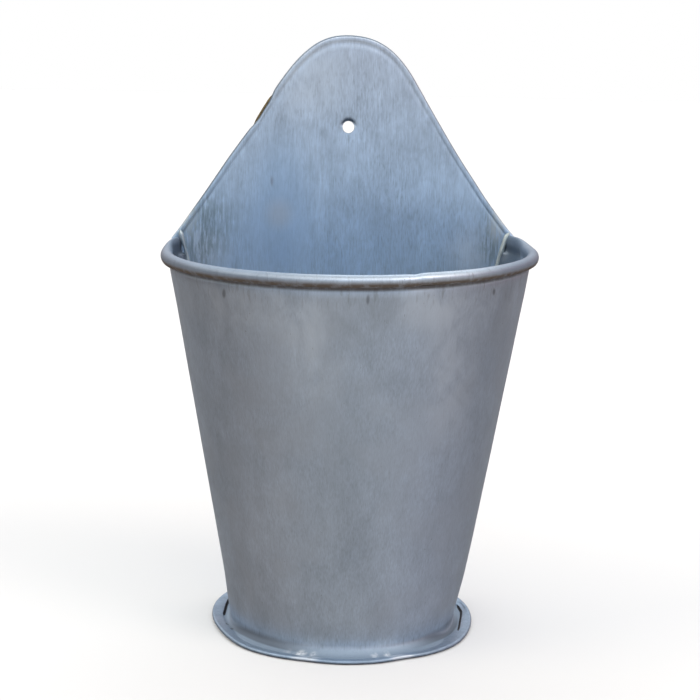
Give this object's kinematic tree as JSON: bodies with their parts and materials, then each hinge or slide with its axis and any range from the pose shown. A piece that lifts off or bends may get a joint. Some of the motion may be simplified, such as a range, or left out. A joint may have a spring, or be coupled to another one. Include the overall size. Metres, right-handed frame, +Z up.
{
  "type": "wall planter",
  "caption": "Half-round tapered sheet-metal wall planter with an arched hanging back, a wired rolled rim and a folded foot ring.",
  "frame": {"origin": "middle of the bounding box's footprint, on the surface that the foot rests on", "axes": "+X to the viewer's right, +Y towards the wall that the back plate hangs on, +Z up; the round front faces -Y"},
  "size_m": [0.1878, 0.1314, 0.2982],
  "materials": {
    "galvanised_shell": "dull weathered galvanised zinc with cloudy patches and fine vertical streaks",
    "galvanised_plate": "bluish galvanised zinc, satin, with fine vertical streaks and flux stains by the corners",
    "galvanised_base": "bluish galvanised zinc, satin",
    "wire": "drawn galvanised wire",
    "solder": "bright cooled solder, lumpy"
  },
  "bodies": {
    "root": {"front_shell": "galvanised_shell", "rim_wire": "wire", "back_plate": "galvanised_plate", "back_edge_wire": "wire", "base_plate": "galvanised_base", "corner_solder_left": "solder", "corner_solder_right": "solder", "base_solder": "solder"}
  },
  "joints": []
}
